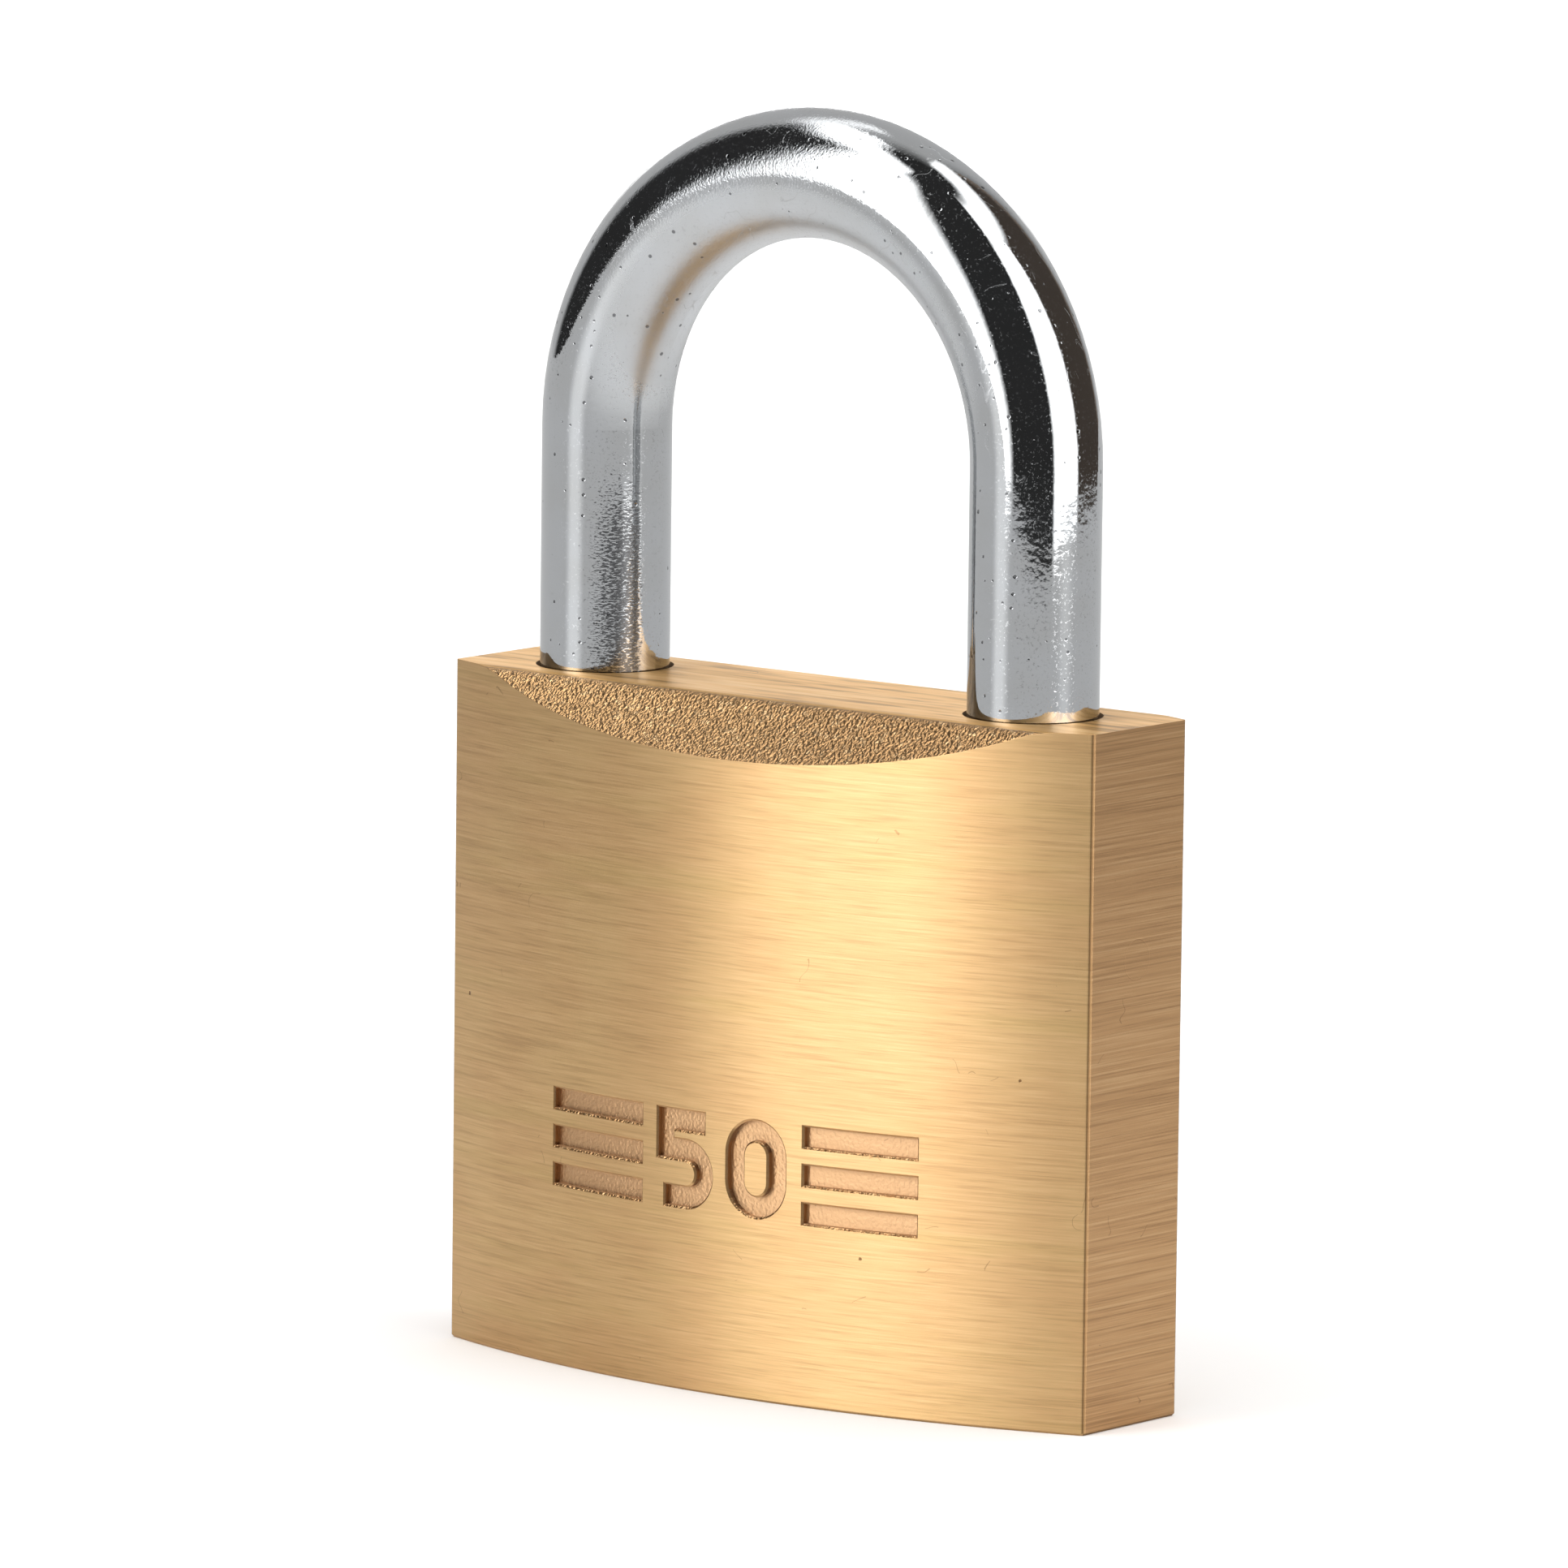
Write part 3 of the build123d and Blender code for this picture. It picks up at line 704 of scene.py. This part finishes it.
rays = node(tree, "LightPath")
studio = node(tree, "Background")
tint_share = times(tree, side_room, maths(tree, "LESS_THAN", glow, dim_glow))
tree.links.new(blend_colour(tree, tint_share, (1, 1, 1, 1), side_room_tint), studio.inputs["Color"])
tree.links.new(glow, studio.inputs["Strength"])
plain = node(tree, "Background", Strength=1.0)
even = node(tree, "Background", Strength=even_light)
lit = node(tree, "MixShader")
tree.links.new(rays.outputs["Is Diffuse Ray"], lit.inputs[0])
tree.links.new(studio.outputs[0], lit.inputs[1])
tree.links.new(even.outputs[0], lit.inputs[2])
seen = node(tree, "MixShader")
tree.links.new(rays.outputs["Is Camera Ray"], seen.inputs[0])
tree.links.new(lit.outputs[0], seen.inputs[1])
tree.links.new(plain.outputs[0], seen.inputs[2])
tree.links.new(seen.outputs[0], node(tree, "OutputWorld").inputs[0])


# ============================================================================ the table
# A pale sheet of paper that the lock stands on. Mirrored in the metal, it falls off in
# brightness with distance, and it ends where the dark room begins, nearest in front.
table_half = 3.0
paper_white = 0.86
paper_near, paper_far = 0.74, 0.46
paper_fades_from, paper_fades_to = 0.06, 0.34
# Painted reflection: seen in the metal, the paper is brighter towards the soft boxes, as sheens
#             azimuth, half width, softness, how much brighter
paper_sheens = [(-60, 12, 8, 0.70), (54, 9, 8, 0.35)]
#             azimuth, half width, softness, where the paper ends
paper_ends = [(38, 98, 8, 0.470), (8, 32, 26, 0.428)]
paper_far_end = 1.6
paper_edge_softness = 0.008
sheens_from, sheens_full = 0.12, 0.30

table_mesh = bpy.data.meshes.new("table")
table_mesh.from_pydata(
    [(x * table_half, y * table_half, 0) for x, y in ((-1, -1), (1, -1), (1, 1), (-1, 1))],
    [],
    [(0, 1, 2, 3)],
)
table = bpy.data.objects.new("table", table_mesh)
bpy.context.scene.collection.objects.link(table)
table_paper = bpy.data.materials.new("table paper")
table_paper.use_nodes = True
tree = table_paper.node_tree
tree.nodes.clear()
spot = node(tree, "TexCoord").outputs["Object"]
px, py, _ = split(tree, spot)
distance = vector_maths(tree, "LENGTH", spot)


def in_sector(turned_to, half_wide, softness):
    """1 in a sector of the table about the lock and 0 outside it, with soft sides."""
    turn = turn_from(tree, px, py, turned_to)
    return ramp(tree, turn, half_wide - softness, half_wide + softness, 1, 0)


reach = paper_far_end
for turned_to, half_wide, softness, end in paper_ends:
    nearer = maths(tree, "SUBTRACT", end, reach)
    reach = maths(tree, "MULTIPLY_ADD", in_sector(turned_to, half_wide, softness), nearer, reach)
past_end = maths(tree, "SUBTRACT", distance, reach)
beyond = ramp(tree, past_end, -paper_edge_softness, paper_edge_softness)
rays = node(tree, "LightPath")
gone = times(tree, beyond, rays.outputs["Is Glossy Ray"])
reflected = ramp(tree, distance, paper_fades_from, paper_fades_to, paper_near, paper_far)
far_out = ramp(tree, distance, sheens_from, sheens_full)
for turned_to, half_wide, softness, sheen in paper_sheens:
    gleam = times(tree, in_sector(turned_to, half_wide, softness), far_out)
    reflected = times(tree, reflected, between(tree, gleam, 1.0, 1.0 + sheen))
shade = maths(tree, "SUBTRACT", reflected, paper_white)
shade = maths(tree, "MULTIPLY_ADD", shade, rays.outputs["Is Glossy Ray"], paper_white)
paper = node(tree, "BsdfDiffuse")
tree.links.new(combine(tree, shade, shade, shade), paper.inputs["Color"])
both = node(tree, "MixShader")
tree.links.new(gone, both.inputs[0])
tree.links.new(paper.outputs[0], both.inputs[1])
tree.links.new(node(tree, "BsdfTransparent").outputs[0], both.inputs[2])
tree.links.new(both.outputs[0], node(tree, "OutputMaterial").inputs[0])
table_mesh.materials.append(table_paper)
